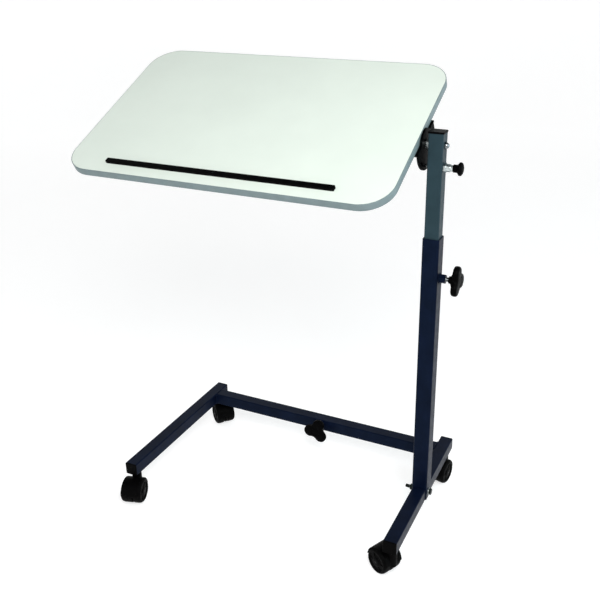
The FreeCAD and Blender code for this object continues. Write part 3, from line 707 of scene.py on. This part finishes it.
def make_edge_band():
    """The plastic band, with softened lips and a shadow line where it meets the laminate."""
    low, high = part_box("board_edge_band")
    inverse = BOARD_FRAME.inverted()
    along = [(inverse @ v.co).y for v in frame["nodes"]["board_edge_band"].data.vertices]
    centre_x = (low.x + high.x) / 2 - PIVOT.x
    place = BOARD_FRAME @ Matrix.Translation((centre_x, halfway(along), UNDERSIDE_OVER_PIVOT))
    chamfer = 0.0002
    section = [(BAND_THICKNESS, chamfer), (BAND_THICKNESS, TOP_THICKNESS - chamfer)]
    section.append((BAND_THICKNESS - chamfer, TOP_THICKNESS))
    for inward, back in rounding(5):
        section.append((BAND_LIP * inward, TOP_THICKNESS - BAND_LIP * back))
    for inward, back in rounding(5):
        section.append((BAND_LIP * back, BAND_LIP * inward))
    section.append((BAND_THICKNESS - chamfer, 0.0))
    outline = rounded_outline(high.x - low.x, max(along) - min(along), TOP_CORNER)
    rings = []
    for inset, height in section:
        lift = Z_AXIS * height
        rings.append([point - normal * inset + lift for point, normal in outline])
    made = bmesh.new()
    loft(made, moved(place, rings), loop=True)
    add_piece("edge_band_rounded", made, "edge_band", "tabletop", ["board_edge_band"])


# ---- casters ----------------------------------------------------------------------
def caster_frame(name):
    """Local frame of a caster: stem at the origin on the floor, wheels towards +X."""
    stem = Vector(JOINTS[name + "_swivel"]["pos_m"])
    hub = Vector(JOINTS[name + "_roll_a"]["pos_m"])
    heading = math.atan2(hub.y - stem.y, hub.x - stem.x)
    trail = (Vector((hub.x, hub.y, 0)) - Vector((stem.x, stem.y, 0))).length
    return Matrix.Translation((stem.x, stem.y, 0)) @ Matrix.Rotation(heading, 4, "Z"), trail


def wheel_profile():
    """(radius, depth) points of a wheel, from the bore over the tread and back to the bore."""
    inner_round = 0.0025
    outer_round = 0.0052
    outer_sweep = 0.0080
    profile = [(WHEEL_BORE, 0.0)]
    for inward, back in rounding(5):
        profile.append((WHEEL_RADIUS - inner_round * inward, inner_round * back))
    for inward, back in rounding(9):
        profile.append((WHEEL_RADIUS - outer_round * back, WHEEL_FACE - outer_sweep * inward))
    profile += [
        (DISH_RADIUS - 0.0003, WHEEL_FACE), (DISH_RADIUS - 0.0007, WHEEL_FACE - 0.0003),
        (DISH_RADIUS - 0.0012, WHEEL_FACE - 0.0022), (DISH_RADIUS - 0.0020, WHEEL_FACE - 0.0026),
        (0.0112, WHEEL_FACE - 0.0019), (0.0100, WHEEL_FACE - 0.0012), (0.0094, WHEEL_FACE),
        (0.0084, WHEEL_FACE + 0.0006), (0.0062, WHEEL_WIDTH - 0.0002), (0.0046, WHEEL_WIDTH),
        (WHEEL_BORE, WHEEL_WIDTH),
    ]
    return profile


def wheel_ribs(made, place):
    """Six low ribs in the dish of the outer face."""
    low = WHEEL_FACE - 0.0030
    high = WHEEL_FACE - 0.0008
    crest_share = 0.7
    rib = []
    for radius, half in ((0.0096, 0.0015), (0.0160, 0.0012), (WHEEL_RADIUS - 0.0068, 0.0014)):
        crest = half * crest_share
        rib.append([
            Vector((radius, -half, low)), Vector((radius, half, low)),
            Vector((radius, crest, high)), Vector((radius, -crest, high)),
        ])
    for index in range(6):
        turn = Matrix.Rotation(math.radians(60 * index), 4, "Z")
        loft(made, moved(place @ turn, rib))


def make_wheel(name, letter, side):
    local, trail = caster_frame(name)
    place = local @ facing(Vector((trail, side * WHEEL_INNER_FACE, WHEEL_RADIUS)), Y_AXIS * side)
    made = bmesh.new()
    turned_ring(made, wheel_profile(), place, count=64)
    wheel_ribs(made, place)
    wheel = name + "_wheel_" + letter
    add_piece(wheel + "_moulded", made, "caster_wheel", name + "_roller_" + letter, [wheel])


def fender(made, trail):
    """The half-round cover over both wheels: a thin shell with round shoulders."""
    half = WHEEL_INNER_FACE + WHEEL_WIDTH - 0.0025
    shoulder = 0.0030
    side_wall = 0.0014
    inner = WHEEL_RADIUS + WHEEL_CLEARANCE
    section = []
    for inward, back in rounding(6):
        section.append((half - shoulder * back, HOOD_RADIUS - shoulder * inward))
    section += [(-across, reach) for across, reach in reversed(section)]
    section += [(-half + side_wall, inner), (half - side_wall, inner)]
    skirt = 0.002
    start = math.asin(skirt / HOOD_RADIUS)
    steps = 40
    rings = []
    for step in range(steps + 1):
        turn = start + (math.pi - 2 * start) * step / steps
        outward = Vector((math.cos(turn), 0, math.sin(turn)))
        centre = Vector((trail, 0, WHEEL_RADIUS))
        rings.append([centre + outward * reach + Y_AXIS * across for across, reach in section])
    loft(made, rings)


def web(made, trail):
    """The plate between the wheels, cut off level over the floor."""
    soft = 0.0005
    reach = HOOD_RADIUS - 0.0020
    outline = [
        (-WEB_HALF, reach - soft), (soft - WEB_HALF, reach),
        (WEB_HALF - soft, reach), (WEB_HALF, reach - soft),
    ]
    rings = []
    for across, radius in outline:
        ring = []
        for point in circle(radius, 0.0, 72):
            ring.append(Vector((trail + point.x, across, max(WEB_BOTTOM, WHEEL_RADIUS + point.y))))
        rings.append(ring)
    loft(made, rings)


def blended_shape(made, cutter):
    """Runs rough solids into one moulding, cuts a clearance out of it and relaxes its edges."""
    body = link_object("moulding", closed_mesh("moulding", made))
    tool = link_object("cutter", closed_mesh("cutter", cutter))
    remesh = body.modifiers.new("blend", "REMESH")
    remesh.mode = "VOXEL"
    remesh.voxel_size = HOOD_VOXEL
    cut = body.modifiers.new("cut", "BOOLEAN")
    cut.operation = "DIFFERENCE"
    cut.object = tool
    relax = body.modifiers.new("relax", "SMOOTH")
    relax.factor = 0.5
    relax.iterations = HOOD_RELAX_PASSES
    bpy.context.view_layer.update()
    result = body.evaluated_get(bpy.context.evaluated_depsgraph_get())
    shape = bpy.data.meshes.new_from_object(result)
    bpy.data.objects.remove(body)
    bpy.data.objects.remove(tool)
    return shape


def hood_shape():
    """Fender, web and stem socket as one moulding, with the stem at the origin."""
    _, trail = caster_frame(CASTERS[0])
    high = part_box(CASTERS[0] + "_caster_hood")[1].z
    made = bmesh.new()
    fender(made, trail)
    web(made, trail)
    socket = [
        (SOCKET_RADIUS - 0.0010, WHEEL_RADIUS - 0.0040), (SOCKET_RADIUS, WHEEL_RADIUS - 0.0030),
        (SOCKET_RADIUS, high - 0.0020), (SOCKET_RADIUS - 0.0006, high - 0.0006),
        (SOCKET_RADIUS - 0.0020, high),
    ]
    turned(made, socket)
    cutter = bmesh.new()
    clearance = WHEEL_RADIUS + WHEEL_CLEARANCE
    past_the_hood = 0.060
    for side in (-1, 1):
        place = facing(Vector((trail, side * WEB_HALF, WHEEL_RADIUS)), Y_AXIS * side)
        turned(cutter, [(clearance, 0.0), (clearance, past_the_hood)], place, count=96)
    return blended_shape(made, cutter)


def make_hood(name, shape):
    local, _ = caster_frame(name)
    mesh = shape.copy()
    mesh.transform(local)
    node = name + "_caster_hood"
    place_piece(
        name + "_hood_moulded", mesh, "caster_plastic", name + "_caster", [node], crease=60.0)


def make_axle(name):
    """The axle with a spread head at each end."""
    local, trail = caster_frame(name)
    half = WHEEL_INNER_FACE + WHEEL_WIDTH
    profile = [
        (0.0016, -half), (0.0026, -half + 0.0002), (AXLE_HEAD_RADIUS, -half + 0.0008),
        (AXLE_HEAD_RADIUS, half - 0.0008), (0.0026, half - 0.0002), (0.0016, half),
    ]
    place = local @ facing(Vector((trail, 0, WHEEL_RADIUS)), Y_AXIS)
    made = bmesh.new()
    turned(made, profile, place, count=32)
    add_piece(name + "_axle_turned", made, "axle_steel", name + "_caster", [name + "_caster_axle"])


def make_casters():
    shape = hood_shape()
    for name in CASTERS:
        make_hood(name, shape)
        make_axle(name)
        make_wheel(name, "a", 1)
        make_wheel(name, "b", -1)


# ---- welds ------------------------------------------------------------------------
def weld_bead(name, path, outward, size, body):
    """A closed bead of weld metal along a loop of points, with the ripples of its pass."""
    around = 8
    rings = []
    travelled = 0.0
    for i, point in enumerate(path):
        following = path[(i + 1) % len(path)]
        across = (following - path[i - 1]).normalized().cross(outward)
        travelled += (point - path[i - 1]).length
        ripples = RIPPLE_SWELL * math.sin(2 * math.pi * travelled / WELD_RIPPLE)
        drift = DRIFT_SWELL * math.sin(travelled / DRIFT_LENGTH)
        swell = 1 + ripples + drift
        ring = []
        for step in range(around):
            turn = 2 * math.pi * step / around
            ring.append(point + (across * math.cos(turn) + outward * math.sin(turn)) * size * swell)
        rings.append(ring)
    made = bmesh.new()
    loft(made, rings, loop=True)
    add_piece(name, made, "navy_paint", body, crease=180.0)


def square_path(centre, across, upward, half, corner):
    """Closely spaced points round a rounded square in the plane of two axes."""
    outline = [point for point, _ in rounded_outline(2 * half, 2 * half, corner, 6)]
    points = []
    for i, point in enumerate(outline):
        following = outline[(i + 1) % len(outline)]
        steps = max(1, round((following - point).length / WELD_SPACING))
        points += [point.lerp(following, step / steps) for step in range(steps)]
    return [centre + across * p.x + upward * p.y for p in points]


def round_path(centre, across, upward, radius):
    """Closely spaced points round a circle in the plane of two axes."""
    steps = round(2 * math.pi * radius / WELD_SPACING)
    turns = [2 * math.pi * step / steps for step in range(steps)]
    return [centre + (across * math.cos(t) + upward * math.sin(t)) * radius for t in turns]


def make_welds():
    """Beads where the crossbar meets the legs and where the clamp bosses meet their tubes."""
    for side, body in (("right", "base"), ("left", "left_base")):
        leg_low, leg_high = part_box(side + "_leg")
        bar_middle = middle(side + "_crossbar")
        face = leg_low.x if side == "right" else leg_high.x
        centre = Vector((face, bar_middle.y, bar_middle.z))
        path = square_path(centre, Y_AXIS, Z_AXIS, BAR_HALF, BAR_CORNER)
        weld_bead(side + "_crossbar_weld", path, X_AXIS, BAR_WELD, body)
    boss = middle("height_clamp_boss")
    tube_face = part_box("mast_outer_tube")[1].x
    path = round_path(Vector((tube_face, boss.y, boss.z)), Y_AXIS, Z_AXIS, BOSS_WELD_RADIUS)
    weld_bead("height_boss_weld", path, X_AXIS, BOSS_WELD, "base")
    boss = middle("crossbar_clamp_boss")
    bar_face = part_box("right_crossbar")[0].y
    path = round_path(Vector((boss.x, bar_face, boss.z)), X_AXIS, Z_AXIS, BOSS_WELD_RADIUS)
    weld_bead("crossbar_boss_weld", path, Y_AXIS, BOSS_WELD, "base")


# ---- stage ------------------------------------------------------------------------
def make_floor():
    """A round pale studio: a flat floor that curves up into a wall on every side."""
    profile = [(FLOOR_RADIUS * share, 0.0) for share in (0.001, 0.25, 0.5, 0.75, 1.0)]
    for inward, back in rounding(12)[1:]:
        profile.append((FLOOR_RADIUS + COVE_RADIUS * (1 - inward), COVE_RADIUS * back))
    profile.append((FLOOR_RADIUS + COVE_RADIUS, WALL_TOP))
    made = bmesh.new()
    loft(made, [circle(radius, level, 96) for radius, level in profile], close_end=False)
    floor = link_object("studio_floor", closed_mesh("studio_floor", made))
    finish = Finish("studio_floor")
    finish.colour(finish.ramp(finish.noise(0.6, 2.0), shades((0.50, 0.50, 0.50), 0.02)))
    finish.set(Roughness=0.9, Emission_Color=(1.0, 1.0, 1.0, 1.0), Emission_Strength=0.62)
    floor.data.materials.append(finish.material)
    floor.data.polygons.foreach_set("use_smooth", [True] * len(floor.data.polygons))


def make_light(name, place, target, size, power, colour=(1.0, 1.0, 1.0)):
    light = bpy.data.lights.new(name, "AREA")
    light.shape = "RECTANGLE"
    light.size, light.size_y = size
    light.energy = power
    light.color = colour
    lamp = link_object(name, light)
    lamp.location = place
    lamp.rotation_euler = (Vector(target) - Vector(place)).to_track_quat("-Z", "Y").to_euler()


def make_lights():
    """A key over the front right, a cool light from the right, a weak fill and a faint sky."""
    top_middle = (0.0, 0.0, 0.9)
    table_middle = (0.0, 0.0, 0.5)
    cool = (0.62, 0.88, 1.0)
    make_light("key_light", (0.9, -1.3, 1.9), top_middle, size=(0.9, 0.9), power=36)
    make_light("side_light", (3.0, 0.9, 1.0), table_middle, size=(1.2, 2.0), power=30, colour=cool)
    make_light("fill_light", (-2.2, -2.4, 1.8), table_middle, size=(2.4, 2.0), power=6)
    world = bpy.data.worlds.new("studio")
    world.use_nodes = True
    background = world.node_tree.nodes["Background"]
    background.inputs["Color"].default_value = (0.96, 1.0, 0.98, 1.0)
    background.inputs["Strength"].default_value = 0.08
    bpy.context.scene.world = world


def make_camera():
    """Looks from the right of the front and a little down."""
    lens = bpy.data.cameras.new("camera")
    lens.sensor_width = SENSOR_WIDTH
    lens.lens = FOCAL_LENGTH
    lens.shift_x, lens.shift_y = LENS_SHIFT
    camera = link_object("camera", lens)
    level = Vector((-math.sin(CAMERA_HEADING), math.cos(CAMERA_HEADING), 0))
    forward = level * math.cos(CAMERA_DIP) - Z_AXIS * math.sin(CAMERA_DIP)
    turn = forward.to_track_quat("-Z", "Y").to_matrix() @ Matrix.Rotation(CAMERA_ROLL, 3, "Z")
    camera.matrix_world = Matrix.Translation(CAMERA_PLACE) @ turn.to_4x4()
    bpy.context.scene.camera = camera


# ---- scene ------------------------------------------------------------------------
finishes = make_materials()
dress_frame(finishes)
make_foot_bolt()
make_pivot_bolt()
make_studs()
make_board_screws()
make_ledge_screws()
make_knobs()
make_plunger_knob()
make_edge_band()
make_casters()
make_welds()
make_floor()
make_lights()
make_camera()
bpy.context.scene.view_settings.view_transform = "Standard"
